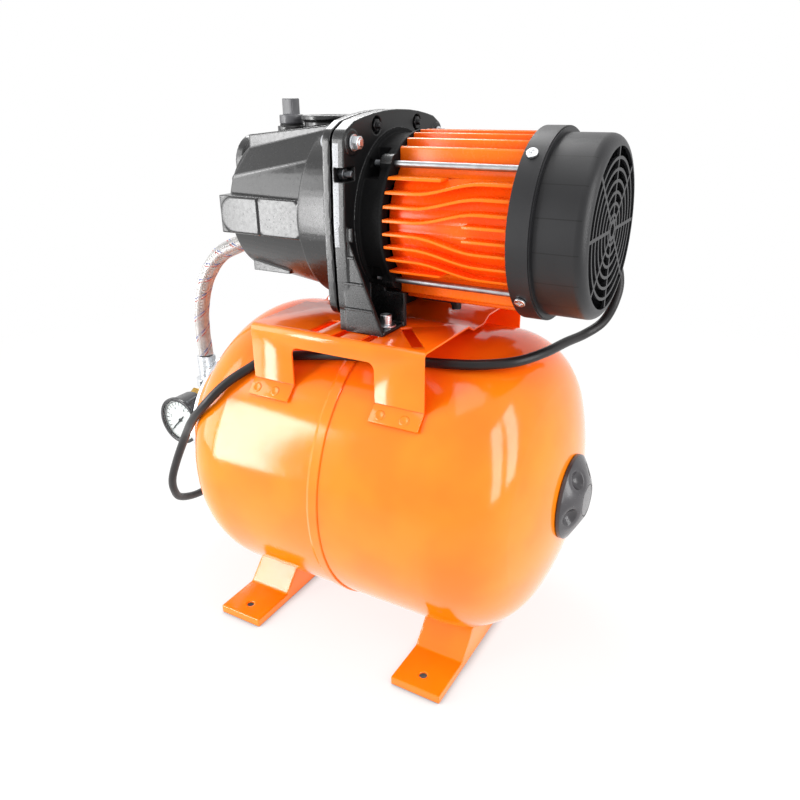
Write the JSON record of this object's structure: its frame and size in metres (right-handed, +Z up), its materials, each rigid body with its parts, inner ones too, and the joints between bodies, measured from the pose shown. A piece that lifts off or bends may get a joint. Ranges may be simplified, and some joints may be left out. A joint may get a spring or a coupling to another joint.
{
  "type": "centrifugal water pump",
  "caption": "Self-priming jet centrifugal pump with a finned motor on a horizontal pressure tank, with braided hose, gauge and pressure switch, for household water supply.",
  "frame": {"origin": "floor level, at the middle of the set's outline without its hose and cable", "axes": "+X along the shaft from the pump to the fan, +Z up, -Y the side with the gauge"},
  "size_m": [0.454, 0.2728, 0.471],
  "materials": {
    "orange_paint": "gloss powder coat",
    "motor_paint": "gloss enamel on cast aluminium",
    "black_rubber": "matte",
    "zinc_steel": "zinc plated",
    "brass": "machined",
    "black_paint": "gloss black paint on grey iron",
    "black_plastic": "satin moulded",
    "pale_plastic": "satin moulded",
    "ceramic": "lapped",
    "carbon": "lapped",
    "core_steel": "stacked sheet",
    "copper": "varnished",
    "bright_steel": "ground",
    "cast_aluminium": "as cast",
    "clear_window": "clear",
    "braided_steel": "woven wire with coloured tracer threads",
    "black_sheath": "satin"
  },
  "bodies": {
    "set": {"tank_rear_shell": "orange_paint", "tank_front_shell": "orange_paint", "membrane": "black_rubber", "tank_flange": "zinc_steel", "flange_bolts": "zinc_steel", "rear_foot": "orange_paint", "front_foot": "orange_paint", "saddle": "orange_paint", "air_valve": "brass", "pump_casing": "black_paint", "ejector": "pale_plastic", "diffuser": "pale_plastic", "seal_seat": "ceramic", "casing_gasket": "black_rubber", "motor_bracket": "black_paint", "casing_bolts": "zinc_steel", "side_bolts": "zinc_steel", "top_screws": "black_paint", "foot_bolts": "zinc_steel", "motor_frame": "motor_paint", "stator_core": "core_steel", "windings": "copper", "front_bearing": "bright_steel", "rear_bearing": "bright_steel", "rear_shield": "cast_aluminium", "fan_cover": "black_plastic", "cover_screws": "zinc_steel", "tie_rods": "zinc_steel", "motor_rest": "black_rubber", "terminal_box": "black_plastic", "terminal_lid": "black_plastic", "capacitor": "pale_plastic", "cable_gland": "black_plastic", "manifold": "brass", "gauge_case": "black_plastic", "gauge_dial": "pale_plastic", "gauge_lens": "clear_window", "switch_base": "zinc_steel", "switch_cover": "black_plastic", "switch_gland": "black_plastic", "hose_fittings": "brass", "braided_hose": "braided_steel", "motor_cable": "black_sheath"},
    "rotor": {"shaft": "bright_steel", "rotor_core": "core_steel", "impeller": "brass", "impeller_nut": "zinc_steel", "seal_ring": "carbon", "fan": "black_plastic"},
    "pointer": {"gauge_needle": "black_plastic"},
    "fill_plug": {"filling_plug": "black_paint", "plug_seal": "black_rubber"},
    "drain": {"drain_plug": "brass"},
    "cap": {"valve_cap": "black_plastic"},
    "valve_pin": {"valve_core": "brass"}
  },
  "joints": [
    {"name": "rotor_spin", "type": "hinge", "parent": "set", "child": "rotor", "pos_m": [0.081, 0, 0.381], "axis": [1, 0, 0], "continuous": true},
    {"name": "pointer_turn", "type": "hinge", "parent": "set", "child": "pointer", "pos_m": [-0.199, -0.045, 0.155], "axis": [0, 1, 0], "range_deg": [0, 270]},
    {"name": "filling_plug_lift", "type": "slide", "parent": "set", "child": "fill_plug", "axis": [0, 0, 1], "range_m": [0, 0.06]},
    {"name": "drain_plug_drop", "type": "slide", "parent": "set", "child": "drain", "axis": [0, 0, -1], "range_m": [0, 0.015]},
    {"name": "cap_pull", "type": "slide", "parent": "set", "child": "cap", "axis": [1, 0, 0], "range_m": [0, 0.05]},
    {"name": "valve_press", "type": "slide", "parent": "set", "child": "valve_pin", "axis": [-1, 0, 0], "range_m": [0, 0.0015], "stiffness_N_per_m": 400}
  ]
}
